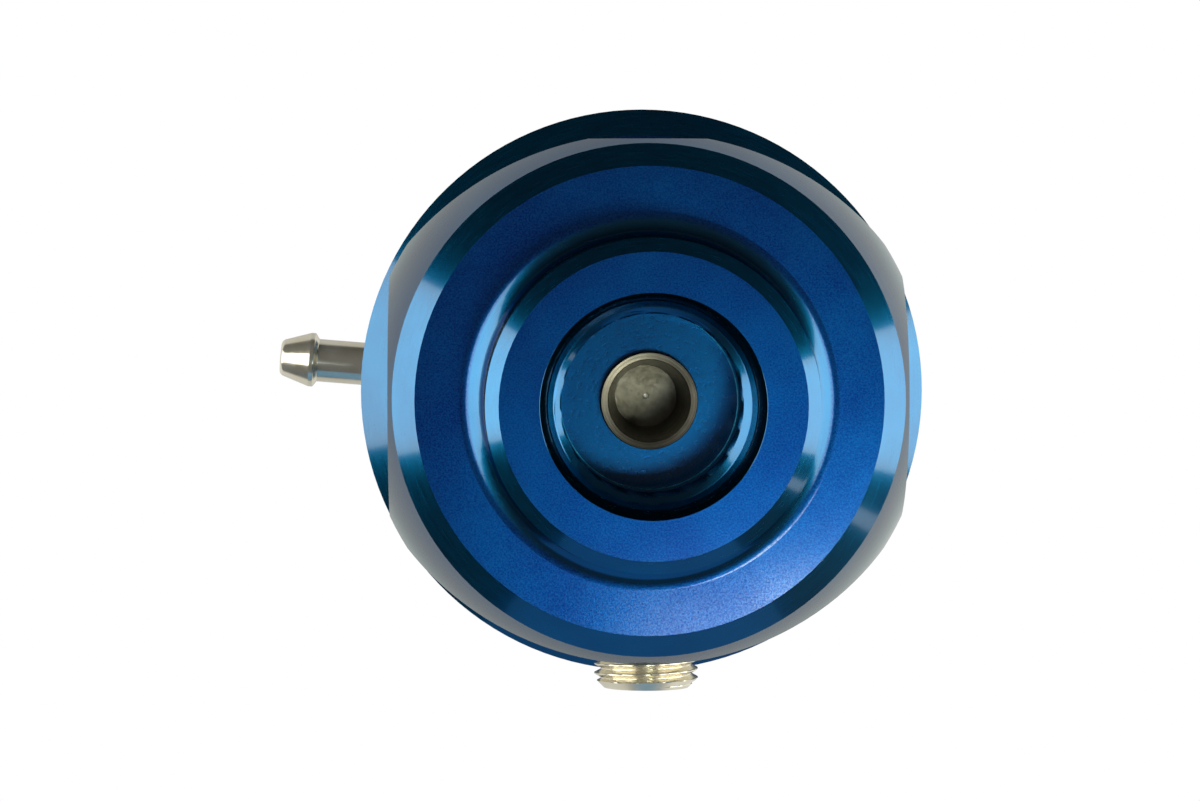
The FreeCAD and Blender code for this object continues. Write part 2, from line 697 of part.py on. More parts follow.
pieces = {
    "body": body,
    "valve_seat": valve_seat,
    "seat_oring": seat_oring,
    "valve_disc": valve_disc,
    "valve_ball": valve_ball,
    "valve_carrier": valve_carrier,
    "diaphragm": diaphragm,
    "diaphragm_washer": diaphragm_washer,
    "spring_cup": spring_cup,
    "carrier_nut": carrier_nut,
    "main_spring": main_spring,
    "spring_top_seat": spring_top_seat,
    "adjusting_screw": adjusting_screw,
    "lock_nut": lock_nut,
    "seal_washer": seal_washer,
    "cap": cap,
    "cap_screws": cap_screws,
    "hose_barb": hose_barb,
    "barb_oring": barb_oring,
    "gauge_plug": gauge_plug,
}

os.makedirs("parts", exist_ok=True)
for name, make in pieces.items():
    shape = make()
    assert shape.isValid(), name + " is not a valid shape"
    shape.exportStep("parts/" + name + ".step")
    box = shape.BoundBox
    print(f"{name:18s} solids {len(shape.Solids)}  volume {shape.Volume:9.1f} mm3  "
          f"x {box.XMin:6.2f} {box.XMax:6.2f}  y {box.YMin:6.2f} {box.YMax:6.2f}  z {box.ZMin:6.2f} {box.ZMax:6.2f}")
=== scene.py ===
# %% [markdown]
# # A fuel pressure regulator, seen from below
# The regulator is a blue anodised aluminium housing with a threaded return port in
# the middle of its underside. The shapes that carry and move come from a fixed frame of
# finished parts. This lesson dresses them: it sets up the camera and the light, mixes the
# finishes, and cuts the screw threads, knurls and sockets that only matter to the eye.
# The scene is in metres, but sizes of pieces are written in millimetres, as on a drawing.
# +Z points up to the adjusting screw.

# %% Load the fixed frame
import math
import bpy
import numpy as np
from mathutils import Matrix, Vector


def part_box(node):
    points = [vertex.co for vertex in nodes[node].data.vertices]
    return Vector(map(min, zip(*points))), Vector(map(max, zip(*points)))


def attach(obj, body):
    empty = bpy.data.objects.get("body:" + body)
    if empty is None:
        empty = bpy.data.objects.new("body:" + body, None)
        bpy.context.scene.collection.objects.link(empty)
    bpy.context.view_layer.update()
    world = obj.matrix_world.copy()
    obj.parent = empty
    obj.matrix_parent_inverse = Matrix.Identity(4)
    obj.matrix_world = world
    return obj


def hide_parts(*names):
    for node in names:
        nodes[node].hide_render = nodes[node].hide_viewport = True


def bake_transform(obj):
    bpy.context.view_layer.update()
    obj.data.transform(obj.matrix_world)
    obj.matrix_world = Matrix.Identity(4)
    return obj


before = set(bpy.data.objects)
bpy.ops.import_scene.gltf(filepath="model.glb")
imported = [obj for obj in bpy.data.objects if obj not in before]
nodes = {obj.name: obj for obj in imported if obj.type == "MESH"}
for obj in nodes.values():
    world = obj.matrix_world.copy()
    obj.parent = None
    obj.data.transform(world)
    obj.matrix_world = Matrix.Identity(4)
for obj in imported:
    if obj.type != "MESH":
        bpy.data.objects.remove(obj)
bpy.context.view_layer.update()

mm = 0.001
print("nodes in the frame:", sorted(nodes))

# %% [markdown]
# ## The camera
# A product photographer shot this part from almost straight below, with a long lens from
# about half a metre away. A long lens keeps the rings of the housing nearly concentric.
# Only a small tilt shows in the photograph: the deeper a ring lies, the further it slides
# to the upper left. The camera's place and aim below make the rings slide just as far.

# %% Camera
eye = np.array([14.22, 19.26, -470.28]) * mm
aim = np.array([-0.01938, -0.03961, 0.99903])
picture_up = np.array([0.0, 1.0, 0.0])
lens_mm = 149.22
sensor_mm = 36.0


def camera_axes(forward, up):
    """Right, up and backward unit vectors of a camera, from two cross products."""
    forward = forward / np.linalg.norm(forward)
    right = np.cross(forward, up)
    right /= np.linalg.norm(right)
    return right, np.cross(right, forward), -forward


def place_camera():
    data = bpy.data.cameras.new("camera")
    data.lens = lens_mm
    data.sensor_width = sensor_mm
    data.clip_start = 0.01
    data.clip_end = 20.0
    camera = bpy.data.objects.new("camera", data)
    bpy.context.collection.objects.link(camera)
    turn = np.eye(4)
    turn[:3, 0], turn[:3, 1], turn[:3, 2] = camera_axes(aim, picture_up)
    turn[:3, 3] = eye
    camera.matrix_world = Matrix(turn.tolist())
    bpy.context.scene.camera = camera
    return camera


place_camera()
bpy.context.scene.view_settings.view_transform = "Standard"
print("camera at", eye, "metres, lens", lens_mm, "mm")

# %% [markdown]
# ## The light
# Polished metal has no brightness of its own: it shows the room, so the photograph tells
# what the room was. Plug and chamfers are bright on their left and right, so two large
# soft boxes stood there. The dark crescent in the port says that a lamp stood close to
# the lens, to its lower right. A smaller and warmer lamp hung nearer to the part, because
# the lower face brightens towards one corner. Short bright spots on the chamfers at the
# lower right are a narrow strip. The lower chamfers are a clear blue, so the table on
# that side reflected some sky. The top light is for views from above; mirrors don't show
# it. The side wall of the housing mirrors the white paper behind it and looks grey.

# %% Soft boxes
part_middle = np.array([0.0, 0.0, 25.0]) * mm
warm = (1.0, 1.0, 0.80)
cool = (0.72, 0.84, 1.0)
sky = (0.12, 0.50, 1.0)


def soft_box(name, azimuth, elevation, distance, width, height, brightness, colour=(1.0, 1.0, 1.0)):
    """Area lamp on a sphere about the part; brightness 1 is as bright as the white paper."""
    a, e = math.radians(azimuth), math.radians(elevation)
    away = np.array([math.cos(a) * math.cos(e), math.sin(a) * math.cos(e), math.sin(e)])
    data = bpy.data.lights.new(name, "AREA")
    data.shape = "RECTANGLE"
    data.size = width
    data.size_y = height
    data.energy = brightness * math.pi * width * height
    data.color = colour
    lamp = bpy.data.objects.new(name, data)
    bpy.context.collection.objects.link(lamp)
    up = np.array([0.0, 0.0, 1.0]) if abs(away[2]) < 0.95 else np.array([0.0, 1.0, 0.0])
    turn = np.eye(4)
    turn[:3, 0], turn[:3, 1], turn[:3, 2] = camera_axes(-away, up)
    turn[:3, 3] = part_middle + away * distance
    lamp.matrix_world = Matrix(turn.tolist())
    lamp.visible_camera = False
    return lamp


soft_box("soft_box_barb_side", 6, -28, 0.60, 0.52, 0.80, 3.4)
soft_box("soft_box_far_side", 182, -24, 0.60, 0.40, 0.84, 3.4)
soft_box("lamp_by_the_lens", 244, -77.2, 0.40, 0.06, 0.06, 7.6, cool)
soft_box("small_near_lamp", 232, -74, 0.25, 0.038, 0.038, 12.0, warm)
soft_box("narrow_strip", 210, -6, 0.70, 0.05, 0.40, 1.7)
soft_box("pale_table_side", -90, -12, 0.70, 0.90, 0.50, 0.50, sky)
top_light = soft_box("top_light", -60, 62, 0.90, 0.70, 0.70, 2.0)
top_light.visible_glossy = False

# %% [markdown]
# The white paper is part of the world: the camera sees it everywhere. A mirror finish sees
# it only above the part, where it stood in the photograph, and sees a dim room elsewhere.
# The room is darkest at the horizon and a little paler round the lens. The world's
# brightness therefore follows the height of the ray's direction.

# %% World
paper_low = 0.06
paper_high = 0.32
dark_horizon = 0.01
dim_room = 0.075
near_the_lens = -0.9
paper_middle = 0.58
paper_right = -0.14
paper_above = -0.02
paper_sides = 0.41
soft_ambient = 0.35


def slope(tree, value, low, high, to_low, to_high, kind="LINEAR"):
    node = tree.nodes.new("ShaderNodeMapRange")
    node.interpolation_type = kind
    for name, number in zip(("From Min", "From Max", "To Min", "To Max"), (low, high, to_low, to_high)):
        node.inputs[name].default_value = number
    tree.links.new(value, node.inputs["Value"])
    return node.outputs["Result"]


def paper_shade(tree, direction):
    """Brightness of the paper: a + b x + c y + d |x|, as its sides caught more light."""
    size = tree.nodes.new("ShaderNodeMath")
    size.operation = "ABSOLUTE"
    tree.links.new(direction["X"], size.inputs[0])
    total = paper_middle
    shares = (direction["X"], paper_right), (direction["Y"], paper_above), (size.outputs[0], paper_sides)
    for part, share in shares:
        step = tree.nodes.new("ShaderNodeMath")
        step.operation = "MULTIPLY_ADD"
        step.inputs[1].default_value = share
        tree.links.new(part, step.inputs[0])
        if isinstance(total, float):
            step.inputs[2].default_value = total
        else:
            tree.links.new(total, step.inputs[2])
        total = step.outputs[0]
    return total


def build_world():
    world = bpy.data.worlds.new("studio")
    bpy.context.scene.world = world
    world.use_nodes = True
    tree = world.node_tree
    tree.nodes.clear()
    add = tree.nodes.new
    link = tree.links.new
    out = add("ShaderNodeOutputWorld")
    background = add("ShaderNodeBackground")
    background.inputs["Color"].default_value = (1, 1, 1, 1)
    way = add("ShaderNodeTexCoord")
    split = add("ShaderNodeSeparateXYZ")
    link(way.outputs["Generated"], split.inputs[0])
    paper = slope(tree, split.outputs["Z"], paper_low, paper_high, 0.0, 1.0, "SMOOTHSTEP")
    shade = paper_shade(tree, split.outputs)
    room = slope(tree, split.outputs["Z"], near_the_lens, 0.0, dim_room, dark_horizon)
    mirrored = add("ShaderNodeMath")
    mirrored.operation = "MULTIPLY_ADD"
    for socket, value in zip(mirrored.inputs, (paper, shade, room)):
        link(value, socket)
    path = add("ShaderNodeLightPath")
    glossy = add("ShaderNodeMix")
    glossy.inputs["A"].default_value = soft_ambient
    link(path.outputs["Is Glossy Ray"], glossy.inputs["Factor"])
    link(mirrored.outputs[0], glossy.inputs["B"])
    seen = add("ShaderNodeMath")
    seen.operation = "MAXIMUM"
    link(path.outputs["Is Camera Ray"], seen.inputs[0])
    link(path.outputs["Is Transmission Ray"], seen.inputs[1])
    white = add("ShaderNodeMix")
    white.inputs["B"].default_value = 1.0
    link(seen.outputs[0], white.inputs["Factor"])
    link(glossy.outputs["Result"], white.inputs["A"])
    link(white.outputs["Result"], background.inputs["Strength"])
    link(background.outputs[0], out.inputs["Surface"])


build_world()
print("world:", bpy.context.scene.world.name, "room", dark_horizon, "to", dim_room, "of the paper")

# %% [markdown]
# ## The floor
# The part stands on a pale floor, on the face of its port boss. The main camera looks
# up from under that floor, so the floor is a one-way sheet: seen from behind it is clear.

# %% Floor
floor_size = 3.0
floor_drop = 0.00005
floor_grey = 0.86


def see_through_from_behind():
    material = bpy.data.materials.new("pale_floor")
    material.use_nodes = True
    tree = material.node_tree
    tree.nodes.clear()
    out = tree.nodes.new("ShaderNodeOutputMaterial")
    paint = tree.nodes.new("ShaderNodeBsdfDiffuse")
    paint.inputs["Color"].default_value = (floor_grey, floor_grey, floor_grey, 1)
    clear = tree.nodes.new("ShaderNodeBsdfTransparent")
    side = tree.nodes.new("ShaderNodeNewGeometry")
    pick = tree.nodes.new("ShaderNodeMixShader")
    tree.links.new(side.outputs["Backfacing"], pick.inputs[0])
    tree.links.new(paint.outputs[0], pick.inputs[1])
    tree.links.new(clear.outputs[0], pick.inputs[2])
    tree.links.new(pick.outputs[0], out.inputs["Surface"])
    return material


def lay_floor():
    h = floor_size / 2
    corners = [(-h, -h, -floor_drop), (h, -h, -floor_drop), (h, h, -floor_drop), (-h, h, -floor_drop)]
    mesh = bpy.data.meshes.new("floor")
    mesh.from_pydata(corners, [], [(0, 1, 2, 3)])
    mesh.materials.append(see_through_from_behind())
    floor = bpy.data.objects.new("floor", mesh)
    bpy.context.collection.objects.link(floor)
    floor.visible_diffuse = False
    floor.visible_glossy = False
    floor.visible_transmission = False
    floor.visible_shadow = False


lay_floor()
print("floor:", floor_size, "m wide")

# %% [markdown]
# ## Small tools for materials
# Each finish is a Principled shader. Its pattern is read from Object coordinates, so it
# sticks to the metal. For turned surfaces the useful coordinate is the distance from the
# axis plus the height: lines of equal value are the rings that a lathe tool leaves.

# %% Material tools
class Finish:
    """A material under construction: its node tree, its shader and shorthands for nodes."""

    def __init__(self, name, **sockets):
        self.material = bpy.data.materials.new(name)
        self.material.use_nodes = True
        self.tree = self.material.node_tree
        self.shader = self.tree.nodes["Principled BSDF"]
        for socket, value in sockets.items():
            self.shader.inputs[socket.replace("_", " ")].default_value = value
        self.coordinates = self.tree.nodes.new("ShaderNodeTexCoord")
        self.place = self.coordinates.outputs["Object"]

    def node(self, kind, **values):
        made = self.tree.nodes.new("ShaderNode" + kind)
        for key, value in values.items():
            setattr(made, key, value)
        return made

    def link(self, source, target):
        self.tree.links.new(source, target)

    def math(self, operation, a, b):
        made = self.node("Math", operation=operation)
        for socket, value in zip(made.inputs, (a, b)):
            if isinstance(value, (int, float)):
                socket.default_value = value
            else:
                self.link(value, socket)
        return made.outputs[0]

    def noise(self, scale, detail=2.0, rough=0.5, place=None):
        """Cloudy pattern between 0 and 1; scale counts its lumps per metre."""
        made = self.node("TexNoise")
        made.inputs["Scale"].default_value = scale
        made.inputs["Detail"].default_value = detail
        made.inputs["Roughness"].default_value = rough
        self.link(place or self.place, made.inputs["Vector"])
        return made.outputs["Fac"]

    def split(self):
        made = self.node("SeparateXYZ")
        self.link(self.place, made.inputs[0])
        return made.outputs

    def from_axis(self):
        """Distance from the Z axis: the square root of x squared plus y squared."""
        x, y, _ = self.split()
        xx = self.math("MULTIPLY", x, x)
        yy = self.math("MULTIPLY", y, y)
        return self.math("SQRT", self.math("ADD", xx, yy), 0.0)

    def rings(self, scale, detail=3.0):
        """Lathe rings: noise along one number, the distance from the axis plus the height."""
        _, _, z = self.split()
        along = self.math("ADD", self.from_axis(), z)
        made = self.node("TexNoise", noise_dimensions="1D")
        made.inputs["Scale"].default_value = scale
        made.inputs["Detail"].default_value = detail
        self.link(along, made.inputs["W"])
        return made.outputs["Fac"]

    def strokes(self, scale, pieces):
        """Lathe rings broken into arcs: noise over (distance + height) and the direction from the axis."""
        x, y, z = self.split()
        far = self.from_axis()
        made = self.node("CombineXYZ")
        along = self.math("MULTIPLY", self.math("ADD", far, z), scale)
        self.link(along, made.inputs[0])
        for k, side in ((1, x), (2, y)):
            share = self.math("DIVIDE", side, self.math("ADD", far, 1e-5))
            self.link(self.math("MULTIPLY", share, pieces), made.inputs[k])
        return self.noise(1.0, 3.0, 0.6, place=made.outputs[0])

    def ramp(self, value, low, high, to_low=0.0, to_high=1.0):
        """Straight line from to_low at low to to_high at high, level beyond both."""
        made = self.node("MapRange")
        for name, number in zip(("From Min", "From Max", "To Min", "To Max"), (low, high, to_low, to_high)):
            made.inputs[name].default_value = number
        self.link(value, made.inputs["Value"])
        return made.outputs["Result"]

    def mix_colour(self, factor, a, b):
        """Colour a at 0, colour b at 1."""
        made = self.node("Mix", data_type="RGBA")
        made.inputs["A"].default_value = (*a, 1)
        made.inputs["B"].default_value = (*b, 1)
        self.link(factor, made.inputs["Factor"])
        return made.outputs["Result"]

    def blend(self, factor, a, b):
        """The same for two colours that come from nodes."""
        made = self.node("Mix", data_type="RGBA")
        self.link(factor, made.inputs["Factor"])
        self.link(a, made.inputs["A"])
        self.link(b, made.inputs["B"])
        return made.outputs["Result"]

    def bump(self, height, distance, strength=1.0, under=None):
        """Relief of that height; under is a relief that this one lies on."""
        made = self.node("Bump")
        made.inputs["Strength"].default_value = strength
        made.inputs["Distance"].default_value = distance
        self.link(height, made.inputs["Height"])
        if under:
            self.link(under, made.inputs["Normal"])
        self.link(made.outputs["Normal"], self.shader.inputs["Normal"])
        return made.outputs["Normal"]

    def set(self, socket, value):
        self.link(value, self.shader.inputs[socket])


print("finishes are mixed from", len([name for name in dir(Finish) if name[0] != "_"]), "small tools")


# %% [markdown]
# ## Blue anodised aluminium
# Anodising grows a hard clear layer on the metal and fills its pores with dye. Light
# crosses the dye, meets the bright metal and comes back blue, while the layer's own
# surface mirrors a little white light, most of it at a shallow angle. A metallic shader
# with a blue tint under a clear coat does just that. The faces square to the axis have a
# fine blasted grain that dulls the coat in specks, and the turned slopes and walls are
# smoother, with faint lathe strokes. The shader tells the two apart by how far the
# surface's normal leans from the axis. The floor of the port is square to the axis too,
# but turned, so within its radius the grain gives way to stronger strokes and some teal.
# The broken edge round the port's floor is a paler, rougher blue: a painted highlight line.

# %% Anodised finish
face_dye = (0.0001, 0.023, 0.158), (0.0005, 0.088, 0.305)
slope_dye = (0.0003, 0.094, 0.205), (0.0006, 0.124, 0.255)
grazing_tint = (0.0, 0.30, 0.20, 1)
grain_height = 0.008
ring_height = 0.0007
turned_floor_r = 9.3
floor_teal = 0.45
floor_strokes = 14.0
slope_lean = 0.93
face_lean = 0.985
cloud_scale = 110.0
grain_scale = 6200.0
stroke_scale = 2600.0
stroke_arcs = 9.0
slope_roughness = 0.25
face_roughness = 0.29
stroke_wear = 0.03
speck_dulls = 0.75


def anodised(name):
    f = Finish(name, Metallic=1.0, Specular_Tint=grazing_tint,
               Coat_Weight=1.0, Coat_IOR=1.5, Coat_Roughness=0.10)
    lean = f.node("SeparateXYZ")
    f.link(f.coordinates.outputs["Normal"], lean.inputs[0])
    flat = f.ramp(f.math("ABSOLUTE", lean.outputs["Z"], 0.0), slope_lean, face_lean)
    cloud = f.ramp(f.noise(cloud_scale, 4.0), 0.35, 0.65)
    strokes = f.strokes(stroke_scale, stroke_arcs)
    speck = f.noise(grain_scale, 2.0, 0.6)
    grains = f.math("ADD", f.math("MULTIPLY", cloud, 0.35), f.ramp(speck, 0.36, 0.64, 0.0, 0.65))
    in_port = f.ramp(f.from_axis(), turned_floor_r * mm, (turned_floor_r + 0.2) * mm, 1.0, 0.0)
    on_slopes = f.mix_colour(cloud, *slope_dye)
    on_faces = f.mix_colour(grains, *face_dye)
    on_floor = f.blend(f.math("MULTIPLY", in_port, floor_teal), on_faces, on_slopes)
    f.set("Base Color", f.blend(flat, on_slopes, on_floor))
    worn = f.ramp(strokes, 0.3, 0.7, -stroke_wear, stroke_wear)
    blasted = f.math("MULTIPLY", flat, f.math("SUBTRACT", 1.0, in_port))
    streaked = f.math("MULTIPLY", worn, f.math("SUBTRACT", 1.0, blasted))
    f.set("Roughness", f.math("ADD", f.ramp(flat, 0.0, 1.0, slope_roughness, face_roughness), streaked))
    dull = f.math("MULTIPLY", f.ramp(speck, 0.36, 0.60, speck_dulls, 0.0), blasted)
    f.set("Coat Weight", f.math("SUBTRACT", 1.0, dull))
    grain = f.bump(f.math("MULTIPLY", speck, blasted), grain_height * mm)
    depth = f.math("ADD", 1.0, f.math("MULTIPLY", f.math("MULTIPLY", in_port, flat), floor_strokes))
    f.bump(f.math("MULTIPLY", strokes, depth), ring_height * mm, under=grain)
    return f.material


def edge_highlight_finish(name):
    """Finish for a broken edge: a pale blue that is a painted highlight, rougher, with less coat."""
    f = Finish(name, Metallic=1.0, Coat_Weight=0.6, Coat_IOR=1.48, Coat_Roughness=0.2)
    cloud = f.ramp(f.noise(900.0, 3.0), 0.35, 0.65)
    f.set("Base Color", f.mix_colour(cloud, (0.01, 0.30, 0.46), (0.05, 0.55, 0.70)))
    f.set("Roughness", f.ramp(f.noise(3000.0), 0.3, 0.7, 0.36, 0.5))
    f.bump(f.noise(5000.0), 0.001 * mm)
    return f.material


body_blue = anodised("body_blue")
cap_blue = anodised("cap_blue")
# painted highlight: pale blue for the thin line round the port's floor
painted_edge_highlight = edge_highlight_finish("painted_edge_highlight")
print("finishes so far:", [m.name for m in bpy.data.materials])

# %% [markdown]
# ## Steel, nickel, rubber
# Turned steel is a warm grey with rings from the tool, so noise along the distance from
# the axis steers its roughness and its relief. The seat insert and the valve's face have
# been in fuel and are stained: clouds of noise mix a bright and a dark steel. The seat's
# bore also takes painted shade, darker deeper down, and the valve's centre mark a painted
# highlight. Nickel plate on brass is nearly a mirror, with a faint yellow cast. Rubber is
# dark and soft.

# %% Other finishes
seat_bore_r = 3.6
seat_rim_r = 4.1
# painted shade: the seat's bore darkens between these two heights
seat_shade_from = 15.0
seat_shade_to = 21.0
# painted highlight: a near-white spot on the valve's centre mark, fading out between these radii
centre_highlight_r = 0.12
centre_highlight_end_r = 0.28


def turned_metal(name, colour, dark, roughness, ring_depth):
    """Clean turned steel: rings of the tool in roughness and relief."""
    f = Finish(name, Metallic=1.0)
    cloud = f.noise(120.0, 4.0, 0.6)
    f.set("Base Color", f.mix_colour(f.ramp(cloud, 0.3, 0.7), dark, colour))
    rings = f.rings(4200.0)
    f.set("Roughness", f.ramp(rings, 0.3, 0.7, roughness - 0.06, roughness + 0.06))
    f.bump(rings, ring_depth * mm, 1.0)
    return f.material


def seat_metal(name):
    """Turned steel, bright on the rim, with painted shade darkening the bore more the deeper it goes."""
    f = Finish(name, Metallic=1.0)
    z = f.split()[2]
    # painted shade: inside the rim the bore is mixed towards the dark steel, more so deeper down
    inside = f.ramp(f.from_axis(), seat_bore_r * mm, seat_rim_r * mm, 1.0, 0.0)
    down = f.ramp(z, seat_shade_from * mm, seat_shade_to * mm, 0.55, 1.0)
    cloud = f.ramp(f.noise(160.0, 4.0, 0.6), 0.3, 0.7)
    bright = f.mix_colour(cloud, (0.15, 0.138, 0.10), (0.32, 0.30, 0.23))
    dark = f.mix_colour(cloud, (0.045, 0.041, 0.026), (0.090, 0.083, 0.055))
    f.set("Base Color", f.blend(f.math("MULTIPLY", inside, down), bright, dark))
    rings = f.rings(4200.0)
    f.set("Roughness", f.ramp(rings, 0.3, 0.7, 0.26, 0.38))
    f.bump(rings, 0.003 * mm)
    return f.material


def rubber(name, colour):
    """Moulded rubber: matt, with a fine speck."""
    f = Finish(name, Roughness=0.55)
    speck = f.noise(3000.0, 3.0)
    f.set("Base Color", f.mix_colour(speck, [0.7 * c for c in colour], [1.3 * c for c in colour]))
    f.bump(speck, 0.01 * mm, 0.5)
    return f.material


def plated(name):
    """Nickel over turned brass: nearly a mirror, faintly yellow, with soft clouds and the finest grain."""
    f = Finish(name, Metallic=0.84)
    cloud = f.ramp(f.noise(300.0, 3.0), 0.3, 0.7)
    f.set("Base Color", f.mix_colour(cloud, (0.67, 0.615, 0.455), (0.79, 0.755, 0.62)))
    f.set("Roughness", f.ramp(f.noise(600.0, 3.0), 0.3, 0.7, 0.15, 0.25))
    f.bump(f.noise(5000.0, 2.0), 0.0003 * mm)
    return f.material


def mottled_steel(name):
    """Stained steel with tool strokes: brown clouds over bright metal, and a painted highlight on the centre
    mark.
    """
    f = Finish(name, Metallic=1.0)
    stain = f.ramp(f.noise(400.0, 4.0, 0.55), 0.36, 0.64)
    stained = f.mix_colour(stain, (0.16, 0.148, 0.10), (0.34, 0.32, 0.235))
    # painted highlight: a near-white colour on the centre mark
    centre_highlight = f.mix_colour(stain, (0.85, 0.82, 0.70), (0.9, 0.88, 0.78))
    at_centre_highlight = f.ramp(f.from_axis(), centre_highlight_r * mm, centre_highlight_end_r * mm, 1.0, 0.0)
    f.set("Base Color", f.blend(at_centre_highlight, stained, centre_highlight))
    marks = f.strokes(3800.0, 4.0)
    f.set("Roughness", f.ramp(marks, 0.3, 0.7, 0.34, 0.52))
    f.bump(marks, 0.006 * mm)
    return f.material


nickel = plated("nickel_plate")
seat_steel = seat_metal("seat_steel")
valve_steel = mottled_steel("valve_steel")
screw_steel = turned_metal("screw_steel", (0.66, 0.65, 0.62), (0.55, 0.54, 0.51), 0.24, 0.001)
carrier_steel = turned_metal("carrier_steel", (0.52, 0.51, 0.47), (0.40, 0.39, 0.35), 0.26, 0.002)
plate_steel = turned_metal("plate_steel", (0.56, 0.55, 0.52), (0.46, 0.45, 0.42), 0.30, 0.002)
spring_steel = turned_metal("spring_steel", (0.30, 0.30, 0.31), (0.20, 0.20, 0.21), 0.36, 0.001)
washer_zinc = turned_metal("washer_zinc", (0.62, 0.63, 0.64), (0.50, 0.51, 0.52), 0.34, 0.001)
seal_rubber = rubber("seal_rubber", (0.02, 0.02, 0.02))
diaphragm_rubber = rubber("diaphragm_rubber", (0.04, 0.04, 0.045))

finish_of = {
    "body": body_blue, "cap": cap_blue,
    "valve_seat": seat_steel, "valve_disc": valve_steel, "valve_ball": valve_steel,
    "valve_carrier": carrier_steel, "diaphragm_washer": plate_steel, "spring_cup": plate_steel,
    "spring_top_seat": plate_steel, "carrier_nut": screw_steel, "main_spring": spring_steel,
    "adjusting_screw": screw_steel, "lock_nut": screw_steel, "cap_screws": screw_steel,
    "seal_washer": washer_zinc, "hose_barb": nickel, "gauge_plug": nickel,
    "seat_oring": seal_rubber, "barb_oring": seal_rubber, "diaphragm": diaphragm_rubber,
}


def dress(node, material):
    """Puts one finish in every material slot of a node."""
    slots = nodes[node].data.materials
    if len(slots):
        for k in range(len(slots)):
            slots[k] = material
    else:
        slots.append(material)


for node, material in finish_of.items():
    dress(node, material)
print("nodes without a finish:", sorted(set(nodes) - set(finish_of)))

# %% [markdown]
# ## Surfaces from rings
# Most new pieces here are screw-like: a stack of rings about an axis. A ring is a row of
# points, the stack is an array, and one set of quads joins each ring to the next. The
# last step turns the finished stack to its axis and moves it to its place. Modelling by
# hand could do the same, but an array keeps every thread exact and is quick to change.

# %% Ring stacks
around = 144
sharp_from = math.radians(32)


def angles(count=around):
    """Angle 2 pi k / count of each point round the axis."""
    return np.linspace(0.0, 2 * np.pi, count, endpoint=False)


def ring_stack(radii, heights):
    """Points of a stack of rings: x = r cos a, y = r sin a, z = height; r may vary with a."""
    radii = np.asarray(radii, float)
    heights = np.asarray(heights, float)
    a = angles(radii.shape[1])
    z = heights if heights.ndim == 2 else np.repeat(heights[:, None], len(a), 1)
    return np.stack([radii * np.cos(a), radii * np.sin(a), z], axis=2)


def stack_faces(rows, columns, closed_rows):
    """Quads between neighbouring rings; the last ring joins the first if closed_rows."""
    i = np.arange(rows if closed_rows else rows - 1)[:, None]
    j = np.arange(columns)[None, :]
    k = (j + 1) % columns
    n = (i + 1) % rows
    corners = np.broadcast_arrays(i * columns + j, i * columns + k, n * columns + k, n * columns + j)
    return np.stack(corners, 2).reshape(-1, 4)


def closed_volume(points, quads):
    """Signed volume: the sum over the triangles of a . (b x c) / 6."""
    tri = np.concatenate([quads[:, [0, 1, 2]], quads[:, [0, 2, 3]]])
    a, b, c = points[tri[:, 0]], points[tri[:, 1]], points[tri[:, 2]]
    return float(np.einsum("ij,ij->i", a, np.cross(b, c)).sum() / 6)


def turn_to(direction, spin=0.0):
    """Rotation matrix whose third column is the direction, turned about it by spin degrees."""
    z = np.asarray(direction, float)
    z = z / np.linalg.norm(z)
    seed = np.array([0.0, 0.0, 1.0]) if abs(z[2]) < 0.9 else np.array([1.0, 0.0, 0.0])
    x = np.cross(seed, z)
    x /= np.linalg.norm(x)
    y = np.cross(z, x)
    s = math.radians(spin)
    return np.stack([x * math.cos(s) + y * math.sin(s), -x * math.sin(s) + y * math.cos(s), z], axis=1)


def new_piece(name, stack, material, body, closed_rows=False, at=(0, 0, 0), direction=(0, 0, 1),
              copies=None):
    """Mesh from a ring stack in millimetres; open ends are closed by a fan to a centre point.

    A piece that bends between two bodies is made with no body of its own.
    """
    rows, columns = stack.shape[:2]
    points = stack.reshape(-1, 3)
    quads = stack_faces(rows, columns, closed_rows)
    fans = np.zeros((0, 3), int)
    if not closed_rows:
        points = np.concatenate([points, [stack[0].mean(0), stack[-1].mean(0)]])
        j = np.arange(columns)
        k = (j + 1) % columns
        low, high, last = rows * columns, rows * columns + 1, (rows - 1) * columns
        low_fan = np.stack([k, j, 0 * j + low], 1)
        high_fan = np.stack([last + j, last + k, 0 * j + high], 1)
        fans = np.concatenate([low_fan, high_fan])
    whole = np.concatenate([quads, np.concatenate([fans, fans[:, 2:]], 1)])
    if closed_volume(points, whole) < 0:
        quads, fans = quads[:, ::-1], fans[:, ::-1]
    frames = copies if copies is not None else [(turn_to(direction), np.asarray(at, float))]
    all_points, all_faces = [], []
    for matrix, shift in frames:
        start = sum(len(p) for p in all_points)
        all_points.append(points @ matrix.T + shift)
        all_faces += (quads + start).tolist() + (fans + start).tolist()
    mesh = bpy.data.meshes.new(name)
    mesh.from_pydata((np.concatenate(all_points) * mm).tolist(), [], all_faces)
    mesh.materials.append(material)
    mesh.validate()
    piece = bpy.data.objects.new(name, mesh)
    bpy.context.collection.objects.link(piece)
    mesh.polygons.foreach_set("use_smooth", np.ones(len(mesh.polygons), bool))
    mesh.set_sharp_from_angle(angle=sharp_from)
    if body:
        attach(piece, body)
    print(f"{name}: {len(mesh.vertices)} points, {len(mesh.polygons)} faces")
    return piece


# %% [markdown]
# ### Rounded outlines
# Turned parts have small roundings in their corners. A corner is cut back along both its
# sides, and an arc that touches both takes its place. With that, an outline can be given
# as a few corners, each with its own rounding.

